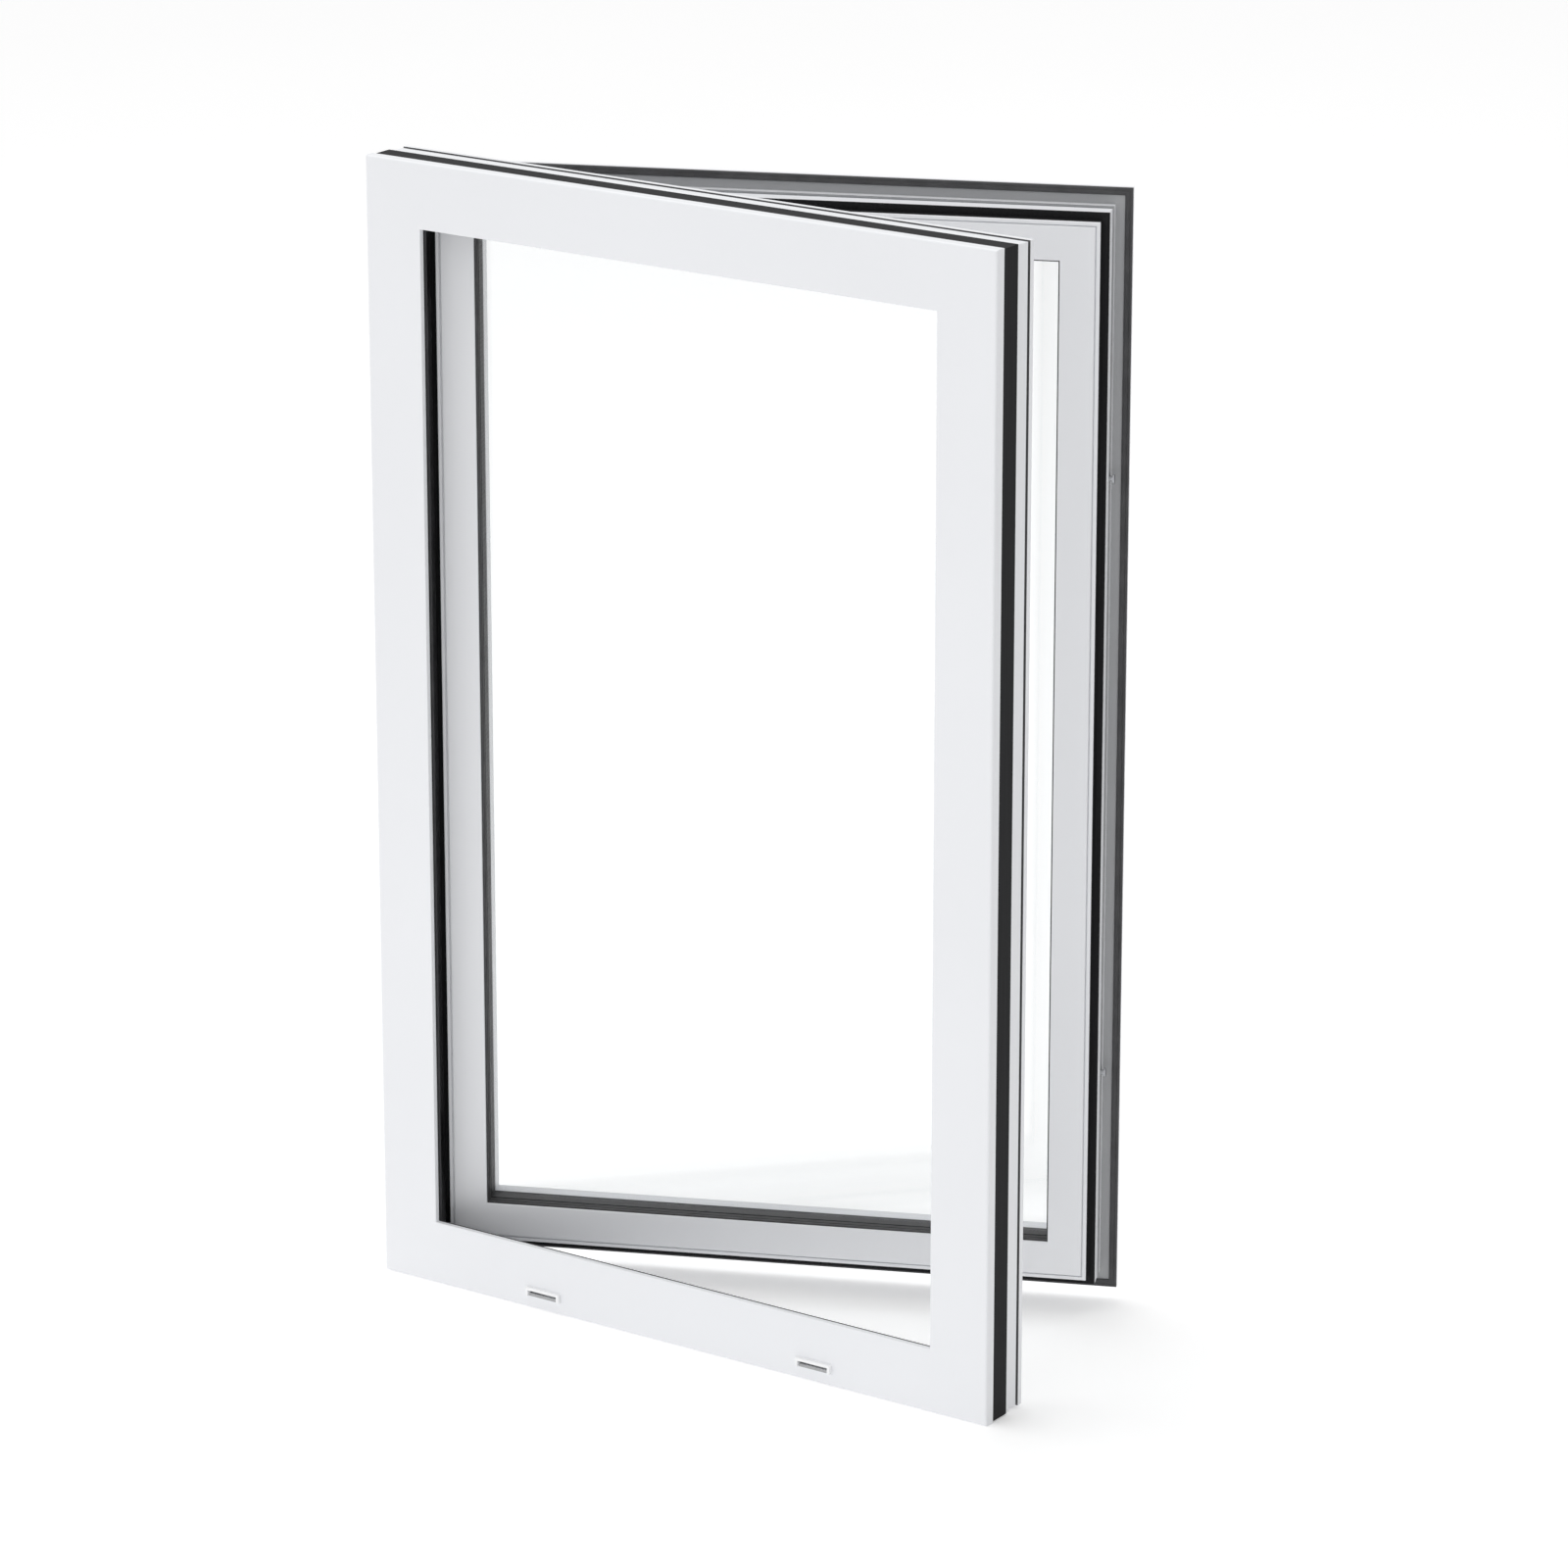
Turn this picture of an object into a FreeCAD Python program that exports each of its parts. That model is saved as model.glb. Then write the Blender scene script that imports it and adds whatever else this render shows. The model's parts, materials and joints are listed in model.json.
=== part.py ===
"""Inward-opening casement window: thermally broken aluminium frame and a hidden sash.

Millimetres, +Z up. X runs along the window from the hinge jamb (-X) to the lock jamb (+X).
Y runs from outdoors into the room. The origin is the middle of the sill's flat underside, so the
exterior face of the frame stands half an exterior shell's depth in front of it.

Cross-sections are written as (e, y): e is the distance in from the frame's outer edge, the same
on all four sides, and y is the depth behind the exterior face. Sash sections use (e, t), where t
is the depth behind the sash's own exterior face. The sash is built closed and turned about the
hinge to its rest angle; the last step moves everything onto the origin.
"""
import FreeCAD
import Part
import math
import os

V = FreeCAD.Vector

# ---- driving dimensions: whole window ----
FRAME_WIDTH = 800.0
FRAME_HEIGHT = 1270.0
FRAME_DEPTH = 72.0
REST_ANGLE = 23.6            # how far the sash stands open at rest, degrees
SASH_SETBACK = 18.0          # closed sash face behind the frame face

# ---- frame section ----
FRAME_FACE = 72.0            # sight width of the exterior face
FRAME_SHELL_DEPTH = 13.0     # exterior shell, front to back
FRAME_CHAMBER_E = 38.0       # inner edge of the exterior shell's hollow chamber
FRAME_BREAK_DEPTH = 27.5     # length of the insulating strips
FRAME_INNER_E = 24.0         # rebate side of the interior shell
FRAME_SIDE_INSET = 2.0       # interior shell stands in from the exterior shell
FRAME_BREAK_E = 1.2          # outer insulating strip
FRAME_GROOVE_INSET = 1.0     # shallow band between the two outer ribs
FRAME_RIB = 6.5              # width of the outer rib next to the insulating strip
FRAME_RIB_GROOVE = 1.5       # shadow groove behind that rib, width and depth
FRAME_SLOT_BACK = 7.5        # wall seal slot, from the room face
FRAME_SLOT_WIDTH = 3.0
FRAME_SLOT_DEPTH = 8.0
WALL = 2.0                   # extrusion wall
LIP_FOOT = 8.0               # width of the gasket foot in the lip
LIP_SHADOW = 4.0             # the gasket stands this far back from the lip's edge
LIP_RETURN = 5.5             # depth of the lip that covers the sash
EDGE_ROUND = 2.5             # outer arris of the painted shells
STRIP = 2.5                  # thickness of an insulating strip

# ---- sash section ----
SASH_E = 47.0                # outer edge of the sash's exterior face
SIGHT_E = 84.5               # glass sight line
SASH_SHELL_DEPTH = 13.0
SASH_WALL_E = 34.0           # outer side wall of the interior shell
SASH_SKIRT_E = 42.0          # outer edge of the exterior shell's small lip
REBATE_E = 66.0              # floor of the glazing rebate
FLANGE_E = 15.3              # outer edge of the room-side flange
FLANGE_THICK = 7.5
SEAL_WIDTH = 8.6             # overlap gasket
SEAL_HEIGHT = 2.5            # gap it fills between the frame and the flange
BREAK_TO = 30.0              # where the sash's interior shell starts
SHOULDER = 3.0               # thickness of the insulating shoulder
GROOVE_FROM = 34.0           # hardware groove mouth, in t
GROOVE_TO = 47.0
GROOVE_BEHIND = 2.0          # how far the groove widens behind its lips on the front side
GROOVE_BEYOND = 4.0          # and on the room side
GROOVE_DEPTH = 6.0

# ---- glazing ----
GLASS_FRONT = 16.0           # t of the outer pane's exterior surface
PANE = 5.0
CAVITY = 16.0
GLASS_E = 70.0               # edge of the glass
SPACER_E = 76.5
SPACER_SIGHT_E = 85.3
INNER_GASKET = 3.0
GASKET_PROUD = 0.8           # outer glazing gasket past the sight line

# ---- clearances ----
SEAL_GAP = 0.3               # rubber to the face it meets, uncompressed
RUNNING = 0.05               # radial, turning fits
SLIDE_GAP = 0.5

# ---- hinges ----
HINGE_END = 135.0            # hinge centre from the top and bottom of the frame
HINGE_GAP = 1.2              # knuckle to the flange's edge
KNUCKLE_R = 5.0
KNUCKLE = 34.0
PIN_R = 3.0
BUSH_WALL = 0.9
WASHER = 1.0
LEAF = 2.0
LEAF_LENGTH = 112.0
SASH_LEAF_WIDTH = 28.0
HINGE_SCREW_SPACING = 92.0
HINGE_SCREW_INNER = 18.0     # extra pair in the sash leaf, from the hinge's middle
HINGE_SCREW_LENGTH = 9.0
SCREW_R = 2.0
SCREW_HEAD_R = 3.8

# ---- lock gear ----
GEAR_MODULE = 1.5
GEAR_TEETH = 12
PINION_WIDTH = 8.0
PINION_ADDENDUM = 1.2
RACK_ADDENDUM = 0.9
TOOTH_ROOT_GAP = 0.3
BACKLASH = 0.25
SQUARE = 7.0                 # spindle
HUB_R = 6.5
ROD_WIDTH = 15.0
ROD_THICK = 3.0
ROD_END = 170.0              # rod end from the frame's top and bottom, at mid travel
CAM_R = 5.0
CAM_REACH = 5.5              # how far a cam stands out of the sash wall
KEEP_END = 300.0             # keep centre from the frame's top and bottom
KEEP_LENGTH = 72.0
KEEP_PLATE = 2.5
KEEP_SCREW_END = 7.0
KEEP_WALL = 3.0
HOOK_LENGTH = 18.0
CASE_WALL = 3.5

# ---- handle ----
ROSETTE_WIDTH = 29.0
ROSETTE_LENGTH = 66.0
ROSETTE_THICK = 9.0
HANDLE_SCREWS = 43.0
HANDLE_SCREW_R = 2.5
HANDLE_SCREW_HEAD_R = 4.4
NECK_R = 9.0
LEVER_LENGTH = 128.0
LEVER_WIDTH = 20.0
LEVER_THICK = 12.0
LEVER_STAND = 44.0           # middle of the grip from the sash's room face

# ---- fixings and drainage ----
FIXING_R = 3.75
FIXING_END = 155.0           # hinge jamb's first and last fixing, from the frame's bottom and top
SILL_FIXING_END = 155.0      # sill fixings, from the frame's sides
CAP_X = 180.0                # drain cap centre from the middle
CAP_Z = 19.3
CAP_WIDTH = 45.0
CAP_HEIGHT = 10.4
CAP_DEPTH = 4.0
CAP_WALL = 3.2
DRAIN_SLOT = 5.0

SIDES = ("head", "sill", "hinge", "lock")

half = FRAME_WIDTH / 2.0
middle_z = FRAME_HEIGHT / 2.0
pitch_r = GEAR_MODULE * GEAR_TEETH / 2.0
travel = pitch_r * math.pi                     # rod travel for half a turn of the handle
frame_break_y = FRAME_SHELL_DEPTH + FRAME_BREAK_DEPTH
slot_y1 = FRAME_DEPTH - FRAME_SLOT_BACK
slot_y0 = slot_y1 - FRAME_SLOT_WIDTH
flange_t = FRAME_DEPTH - SASH_SETBACK + SEAL_HEIGHT
sash_depth = flange_t + FLANGE_THICK
room_face = SASH_SETBACK + sash_depth
glass_back = GLASS_FRONT + 2.0 * PANE + CAVITY
bead_t = glass_back + INNER_GASKET
seal_t = FRAME_DEPTH - SASH_SETBACK + SEAL_GAP
groove_floor_e = SASH_WALL_E + WALL + GROOVE_DEPTH


# ------------------------------------------------------------------ helpers
def box(x0, y0, z0, x1, y1, z1):
    return Part.makeBox(x1 - x0, y1 - y0, z1 - z0, V(x0, y0, z0))


def cylinder(radius, start, end):
    start, end = V(*start), V(*end)
    return Part.makeCylinder(radius, (end - start).Length, start, end - start)


def fuse(shapes):
    shapes = list(shapes)
    return shapes[0].multiFuse(shapes[1:]).removeSplitter() if len(shapes) > 1 else shapes[0]


def group(shapes):
    return Part.makeCompound(list(shapes))


def polygon_face(points):
    """A flat face in the section plane, (e, y) laid on X and Y."""
    corners = [V(e, y, 0.0) for e, y in points]
    return Part.Face(Part.makePolygon(corners + corners[:1]))


def section(outline, holes=()):
    face = polygon_face(outline)
    for hole in holes:
        face = face.cut(polygon_face(hole))
    return face


def rounded(corner, before, after, radius, steps=5):
    """Points of a fillet that replaces one square corner of an outline."""
    c = V(corner[0], corner[1], 0.0)
    a = (V(before[0], before[1], 0.0) - c).normalize()
    b = (V(after[0], after[1], 0.0) - c).normalize()
    centre = c + (a + b) * radius
    points = []
    for i in range(steps + 1):
        turn = math.pi / 2.0 * i / steps
        p = centre - b * radius * math.cos(turn) - a * radius * math.sin(turn)
        points.append((p.x, p.y))
    return points


def member(face, side, y0=0.0):
    """Extrude a section along one side of the window and mitre both ends."""
    length = FRAME_HEIGHT if side in ("hinge", "lock") else FRAME_WIDTH
    bar = face.extrude(V(0, 0, length))
    reach = min(FRAME_WIDTH, FRAME_HEIGHT) / 2.0
    mitre = Part.makePolygon([V(-1, 0, -1), V(reach, 0, reach), V(reach, 0, length - reach),
                              V(-1, 0, length + 1), V(-1, 0, -1)])
    prism = Part.Face(mitre).extrude(V(0, FRAME_DEPTH * 3.0, 0))
    prism.translate(V(0, -FRAME_DEPTH, 0))
    bar = bar.common(prism)
    if side == "lock":
        bar = bar.mirror(V(0, 0, 0), V(1, 0, 0))
        bar.translate(V(half, y0, 0))
    elif side == "hinge":
        bar.translate(V(-half, y0, 0))
    else:
        bar.rotate(V(0, 0, 0), V(0, 1, 0), 90)
        bar.translate(V(-half, y0, FRAME_HEIGHT))
        if side == "sill":
            bar = bar.mirror(V(0, 0, FRAME_HEIGHT / 2.0), V(0, 0, 1))
    return bar


def ring(face, y0=0.0):
    return group(member(face, side, y0) for side in SIDES)


def corner_cleats(e0, e1, y0, y1, leg):
    """Four right-angle blocks that key the mitred corners together."""
    cleats = []
    for sx in (-1.0, 1.0):
        for top in (False, True):
            upright = box(e0, y0, e0, e1, y1, leg)
            foot = box(e0, y0, e0, leg, y1, e1)
            cleat = fuse([upright, foot])
            if top:
                cleat = cleat.mirror(V(0, 0, FRAME_HEIGHT / 2.0), V(0, 0, 1))
            cleat.translate(V(-half, 0, 0))
            if sx > 0:
                cleat = cleat.mirror(V(0, 0, 0), V(1, 0, 0))
            cleats.append(cleat)
    return group(cleats)


def rectangle(e0, y0, e1, y1):
    return [(e0, y0), (e1, y0), (e1, y1), (e0, y1)]


# ------------------------------------------------------------------ frame
def frame_exterior_section():
    e_in = FRAME_FACE
    corner = rounded((0, 0), (0, FRAME_SHELL_DEPTH), (e_in, 0), EDGE_ROUND)
    inner = rounded((e_in, 0), (0, 0), (e_in, LIP_RETURN), 0.8, 3)
    outline = corner + inner
    outline += [(e_in, LIP_RETURN), (e_in - WALL, LIP_RETURN), (e_in - WALL, WALL)]
    outline += [(e_in - WALL - LIP_FOOT, WALL), (e_in - WALL - LIP_FOOT, LIP_RETURN)]
    outline += [(e_in - 2 * WALL - LIP_FOOT, LIP_RETURN), (e_in - 2 * WALL - LIP_FOOT, WALL)]
    outline += [(FRAME_CHAMBER_E, WALL), (FRAME_CHAMBER_E, FRAME_SHELL_DEPTH), (0, FRAME_SHELL_DEPTH)]
    chamber = rectangle(WALL, WALL, FRAME_CHAMBER_E - WALL, FRAME_SHELL_DEPTH - WALL)
    return section(outline, [chamber])


def frame_interior_section():
    a = FRAME_SIDE_INSET
    b = a + FRAME_GROOVE_INSET
    s = b + FRAME_SLOT_DEPTH
    rib = frame_break_y + FRAME_RIB
    e_in = FRAME_INNER_E
    g = FRAME_RIB_GROOVE
    outline = [(a, frame_break_y), (a, rib), (b + g, rib), (b + g, rib + g), (b, rib + g)]
    outline += [(b, slot_y0)]
    outline += [(s, slot_y0), (s, slot_y1), (a, slot_y1)]
    outline += rounded((a, FRAME_DEPTH), (e_in, FRAME_DEPTH), (a, 0), 1.0, 3)[::-1]
    outline += [(e_in, FRAME_DEPTH), (e_in, frame_break_y)]
    w = WALL
    chamber = [(b + g + w, frame_break_y + w), (e_in - w, frame_break_y + w)]
    chamber += [(e_in - w, FRAME_DEPTH - w), (a + w, FRAME_DEPTH - w), (a + w, slot_y1 + w)]
    chamber += [(s + w, slot_y1 + w), (s + w, slot_y0 - w), (b + g + w, slot_y0 - w)]
    return section(outline, [chamber])


def frame_break_strips(side):
    """Outer and inner insulating strip of one frame member."""
    e_in = FRAME_INNER_E - WALL
    outer = section(rectangle(FRAME_BREAK_E, FRAME_SHELL_DEPTH, FRAME_BREAK_E + STRIP, frame_break_y))
    inner = section(rectangle(e_in - STRIP, FRAME_SHELL_DEPTH, e_in, frame_break_y))
    return group([member(outer, side), member(inner, side)])


def frame_lip_gasket():
    """Black weather seal behind the lip, which the sash face closes against."""
    e_in = FRAME_FACE - LIP_SHADOW
    foot = FRAME_FACE - WALL - LIP_FOOT
    tip = SASH_SETBACK - SEAL_GAP
    outline = [(foot, WALL), (FRAME_FACE - WALL, WALL), (FRAME_FACE - WALL, LIP_RETURN)]
    outline += [(e_in, LIP_RETURN), (e_in, tip - 6.0), (e_in - 1.0, tip - 5.4)]
    outline += [(e_in - 1.0, tip - 1.0), (e_in - 2.0, tip), (foot + 1.5, tip), (foot, LIP_RETURN)]
    return ring(section(outline))


def frame_centre_gasket():
    """Middle seal: a rubber blade carried by the inner insulating strip."""
    e0 = FRAME_INNER_E - WALL
    shoulder_y = SASH_SETBACK + SASH_SHELL_DEPTH
    tip_e = SASH_SKIRT_E - 2.0
    tip_y = shoulder_y - SEAL_GAP
    outline = [(e0, tip_y - 7.0), (e0 + 6.0, tip_y - 7.0), (tip_e - 1.0, tip_y - 3.5)]
    outline += [(tip_e, tip_y - 2.5), (tip_e, tip_y), (e0 + 8.0, tip_y), (e0, tip_y + 3.0)]
    return ring(section(outline))


def drain_cap(x):
    """Hood over a drain slot: closed top and sides, open underneath."""
    w = CAP_WIDTH / 2.0
    z0 = CAP_Z - CAP_HEIGHT / 2.0
    z1 = CAP_Z + CAP_HEIGHT / 2.0
    hood = box(x - w, -CAP_DEPTH, z0, x + w, 0, z1)
    edges = [ed for ed in hood.Edges if ed.BoundBox.YMax < -CAP_DEPTH + 0.01]
    hood = hood.makeFillet(1.0, edges)
    mouth = box(x - w + CAP_WALL, -CAP_DEPTH - 1, z0 - 1, x + w - CAP_WALL, -0.9, z1 - CAP_WALL)
    throat = box(x - w + CAP_WALL, -2, CAP_Z - DRAIN_SLOT / 2.0,
                 x + w - CAP_WALL, 1, z1 - CAP_WALL)
    return hood.cut(mouth).cut(throat)


def drain_cuts():
    """Slots from the rebate through the sill's exterior shell to the caps."""
    cuts = []
    for x in (-CAP_X, CAP_X):
        w = CAP_WIDTH / 2.0 - CAP_WALL
        z0 = CAP_Z - DRAIN_SLOT / 2.0
        cuts.append(box(x - w, -1, z0, x + w, WALL + 1, z0 + DRAIN_SLOT))
        cuts.append(box(x - w, WALL + 1, FRAME_CHAMBER_E - WALL - 1, x + w, WALL + 1 + DRAIN_SLOT,
                        FRAME_CHAMBER_E + 1))
    return cuts


def fixing_y():
    return (frame_break_y + WALL + slot_y0) / 2.0


def jamb_fixings():
    """Holes for frame screws, through both walls of the hinge jamb's interior shell."""
    cuts = []
    for z in (FIXING_END, middle_z, FRAME_HEIGHT - FIXING_END):
        start = (-half - 1, fixing_y(), z)
        end = (-half + FRAME_INNER_E + 1, fixing_y(), z)
        cuts.append(cylinder(FIXING_R, start, end))
    return cuts


def sill_fixings():
    reach = half - SILL_FIXING_END
    return [cylinder(FIXING_R, (x, fixing_y(), -1), (x, fixing_y(), FRAME_INNER_E + 1))
            for x in (-reach, reach)]


# ------------------------------------------------------------------ sash
def sash_exterior_section():
    arris = rounded((SASH_E, 0), (SASH_E, 10), (SASH_E + 10, 0), 1.5, 4)
    sight = rounded((SIGHT_E, 0), (0, 0), (SIGHT_E, 10), 0.8, 3)
    skirt = SASH_SKIRT_E
    body = skirt + STRIP
    back = SASH_SHELL_DEPTH
    outline = arris + sight
    outline += [(SIGHT_E, WALL), (REBATE_E, WALL), (REBATE_E, back), (body, back), (body, 3.2)]
    outline += [(skirt, 3.2), (skirt, 1.6), (skirt + 0.6, 1.0), (SASH_E - 1.2, 1.0)]
    outline += [(SASH_E - 1.2, 3.0), (SASH_E, 3.0)]
    chamber = [(SASH_E + WALL, WALL), (REBATE_E - WALL, WALL), (REBATE_E - WALL, back - WALL)]
    chamber += [(body + WALL, back - WALL), (body + WALL, 3.0 + WALL), (SASH_E + WALL, 3.0 + WALL)]
    return section(outline, [chamber])


def sash_interior_section():
    w = WALL
    wall = SASH_WALL_E
    inner = wall + w
    floor = groove_floor_e
    g0 = GROOVE_FROM - GROOVE_BEHIND
    g1 = GROOVE_TO + GROOVE_BEYOND
    start = SASH_SHELL_DEPTH + SHOULDER
    outline = [(wall, start), (inner, start), (inner, BREAK_TO), (REBATE_E, BREAK_TO)]
    outline += [(REBATE_E, sash_depth)]
    outline += rounded((FLANGE_E, sash_depth), (REBATE_E, sash_depth), (FLANGE_E, 0), 1.5, 4)
    outline += [(FLANGE_E, flange_t), (wall, flange_t), (wall, GROOVE_TO), (inner, GROOVE_TO)]
    outline += [(inner, g1), (floor, g1), (floor, g0), (inner, g0), (inner, GROOVE_FROM)]
    outline += [(wall, GROOVE_FROM)]
    chamber = [(floor + 1.5, BREAK_TO + w), (REBATE_E - w, BREAK_TO + w)]
    chamber += [(REBATE_E - w, sash_depth - w), (FLANGE_E + w, sash_depth - w)]
    chamber += [(FLANGE_E + w, flange_t + w), (inner, flange_t + w), (inner, g1 + 1.5)]
    chamber += [(floor + 1.5, g1 + 1.5)]
    return section(outline, [chamber])


def sash_break_strips(side):
    """Outer strip with its black shoulder, and the inner strip."""
    skirt = SASH_SKIRT_E
    body = skirt + STRIP
    s0 = SASH_SHELL_DEPTH
    outer = [(skirt, 3.2), (body, 3.2), (body, BREAK_TO), (skirt, BREAK_TO), (skirt, s0 + SHOULDER)]
    outer += [(SASH_WALL_E, s0 + SHOULDER), (SASH_WALL_E, s0), (skirt, s0)]
    inner = rectangle(REBATE_E - STRIP, s0, REBATE_E, BREAK_TO)
    return group([sash_member(section(outer), side), sash_member(section(inner), side)])


def bead_section():
    w = 1.6
    e1 = SIGHT_E
    top = rounded((e1, sash_depth), (e1, 0), (0, sash_depth), 1.5, 4)
    outline = [(REBATE_E, bead_t), (e1, bead_t)] + top
    outline += [(REBATE_E + 0.5, sash_depth), (REBATE_E, sash_depth - 0.5)]
    chamber = rectangle(REBATE_E + w, bead_t + w, e1 - w, sash_depth - w)
    return section(outline, [chamber])


def outer_gasket_section():
    e1 = SIGHT_E + GASKET_PROUD
    outline = [(REBATE_E + 6.0, WALL), (e1, WALL), (e1, WALL + 5.0), (e1 - 0.8, WALL + 5.6)]
    outline += [(e1 - 0.8, WALL + 6.4), (e1, WALL + 7.0), (e1, GLASS_FRONT)]
    outline += [(REBATE_E + 6.0, GLASS_FRONT)]
    return section(outline)


def inner_gasket_section():
    return section(rectangle(REBATE_E + 8.0, glass_back, SIGHT_E - SEAL_GAP, bead_t))


def overlap_gasket_section():
    e0 = FLANGE_E + 0.2
    e1 = FLANGE_E + SEAL_WIDTH
    outline = [(e0, flange_t), (e0, seal_t + 0.7), (e0 + 0.7, seal_t), (e1 - 0.7, seal_t)]
    outline += [(e1, seal_t + 0.7), (e1, flange_t)]
    return section(outline)


def sash_member(face, side):
    return member(face, side, SASH_SETBACK)


def pane(t0):
    y0 = SASH_SETBACK + t0
    return box(-half + GLASS_E, y0, GLASS_E, half - GLASS_E, y0 + PANE, FRAME_HEIGHT - GLASS_E)


def pane_edge_ring(e0, e1):
    t0 = GLASS_FRONT + PANE
    y0, y1 = SASH_SETBACK + t0, SASH_SETBACK + t0 + CAVITY
    outer = box(-half + e0, y0, e0, half - e0, y1, FRAME_HEIGHT - e0)
    hollow = box(-half + e1, y0 - 1, e1, half - e1, y1 + 1, FRAME_HEIGHT - e1)
    return outer.cut(hollow)


def setting_blocks():
    """Packers between the glass edge and the rebate, where they carry a side-hung pane."""
    y0, y1 = SASH_SETBACK + GLASS_FRONT, SASH_SETBACK + glass_back
    length = 80.0
    inset = GLASS_E + 60.0
    lo, hi = REBATE_E, GLASS_E
    blocks = []
    for x in (-half + inset, half - inset - length):
        blocks.append(box(x, y0, lo, x + length, y1, hi))
        blocks.append(box(x, y0, FRAME_HEIGHT - hi, x + length, y1, FRAME_HEIGHT - lo))
    for z in (inset, FRAME_HEIGHT - inset - length):
        blocks.append(box(-half + lo, y0, z, -half + hi, y1, z + length))
        blocks.append(box(half - hi, y0, z, half - lo, y1, z + length))
    return group(blocks)


# ------------------------------------------------------------------ hinges
hinge_x = -half + FLANGE_E - HINGE_GAP - KNUCKLE_R
hinge_y = FRAME_DEPTH + LEAF + SLIDE_GAP + KNUCKLE_R
bush_r = PIN_R + RUNNING + BUSH_WALL
hinge_z = (HINGE_END, FRAME_HEIGHT - HINGE_END)
frame_leaf_x = (-half + FRAME_SIDE_INSET + 0.3, -half + FLANGE_E - 1.3)
sash_leaf_x = (-half + FLANGE_E + 1.7, -half + FLANGE_E + 1.7 + SASH_LEAF_WIDTH)


def screw(x, z, y_head, length, radius, head_r, direction=-1.0):
    """Countersunk screw along Y: head face at y_head, shank running in the given direction."""
    head = Part.makeCone(head_r, radius, head_r - radius, V(x, y_head, z), V(0, direction, 0))
    shank = cylinder(radius, (x, y_head, z), (x, y_head + direction * length, z))
    recess = cylinder(radius * 0.8, (x, y_head, z), (x, y_head + direction * 1.2, z))
    return head.fuse(shank).cut(recess).removeSplitter()


def solid_screw(x, z, y_head, length, radius, head_r, direction=-1.0):
    head = Part.makeCone(head_r, radius, head_r - radius, V(x, y_head, z), V(0, direction, 0))
    return head.fuse(cylinder(radius, (x, y_head, z), (x, y_head + direction * length, z)))


def hinge_frame_leaf(z):
    """Leaf on the frame's room face with the lower knuckle."""
    x0, x1 = frame_leaf_x
    plate = box(x0, FRAME_DEPTH, z - LEAF_LENGTH / 2, x1, FRAME_DEPTH + LEAF, z + LEAF_LENGTH / 2)
    knuckle = cylinder(KNUCKLE_R, (hinge_x, hinge_y, z - KNUCKLE - WASHER / 2),
                       (hinge_x, hinge_y, z - WASHER / 2))
    neck = box(hinge_x - KNUCKLE_R, FRAME_DEPTH, z - KNUCKLE - WASHER / 2, x1, hinge_y, z - WASHER / 2)
    return fuse([plate, knuckle, neck])


def hinge_sash_leaf(z):
    """Leaf on the sash's room face with the upper knuckle."""
    x0, x1 = sash_leaf_x
    plate = box(x0, room_face, z - LEAF_LENGTH / 2, x1, room_face + LEAF, z + LEAF_LENGTH / 2)
    z0, z1 = z + WASHER / 2, z + WASHER / 2 + KNUCKLE
    knuckle = cylinder(KNUCKLE_R, (hinge_x, hinge_y, z0), (hinge_x, hinge_y, z1))
    neck = box(hinge_x, room_face, z0, x0, room_face + LEAF, z1)
    rib = box(hinge_x, hinge_y, z0, hinge_x + KNUCKLE_R - 0.3, room_face + LEAF, z1)
    return fuse([plate, knuckle, neck, rib])


def hinge_bore(z, radius):
    return cylinder(radius, (hinge_x, hinge_y, z - KNUCKLE + 4), (hinge_x, hinge_y, z + KNUCKLE - 3))


def hinge_pin(z):
    return hinge_bore(z, PIN_R)


def hinge_bush(z):
    """Plastic sleeve in the sash knuckle, with a washer under it."""
    z0 = z - WASHER / 2 + 0.1
    z1 = z + KNUCKLE - 3
    tube = cylinder(bush_r, (hinge_x, hinge_y, z0 + WASHER - 0.1), (hinge_x, hinge_y, z1))
    washer = cylinder(KNUCKLE_R - 0.4, (hinge_x, hinge_y, z0), (hinge_x, hinge_y, z0 + WASHER - 0.1))
    return fuse([tube, washer]).cut(hinge_bore(z, PIN_R + RUNNING))


def hinge_screw_points(z):
    return [z - HINGE_SCREW_SPACING / 2, z + HINGE_SCREW_SPACING / 2]


def frame_hinge_screws(maker):
    x = sum(frame_leaf_x) / 2.0
    y = FRAME_DEPTH + LEAF
    points = [zs for z in hinge_z for zs in hinge_screw_points(z)]
    return [maker(x, zs, y, HINGE_SCREW_LENGTH, SCREW_R, SCREW_HEAD_R) for zs in points]


def sash_hinge_screws(maker):
    x = sum(sash_leaf_x) / 2.0 + 1.0
    y = room_face + LEAF
    points = [zs for z in hinge_z for zs in hinge_screw_points(z)]
    points += [z + s * HINGE_SCREW_INNER for z in hinge_z for s in (-1, 1)]
    return [maker(x, zs, y, HINGE_SCREW_LENGTH, SCREW_R, SCREW_HEAD_R) for zs in points]


# ------------------------------------------------------------------ lock gear
rod_e0 = SASH_WALL_E + WALL + 1.0
rod_e1 = rod_e0 + ROD_THICK
rack_root_e = rod_e1
pinion_dedendum = RACK_ADDENDUM + TOOTH_ROOT_GAP
rack_pitch_e = rack_root_e + PINION_ADDENDUM + TOOTH_ROOT_GAP
pinion_e = rack_pitch_e + pitch_r
groove_mid = (GROOVE_FROM + GROOVE_TO) / 2.0
handle_x = half - pinion_e
gear_y = SASH_SETBACK + groove_mid + 1.0
tooth_pitch = math.pi * GEAR_MODULE
keep_z = (KEEP_END, FRAME_HEIGHT - KEEP_END)


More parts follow.
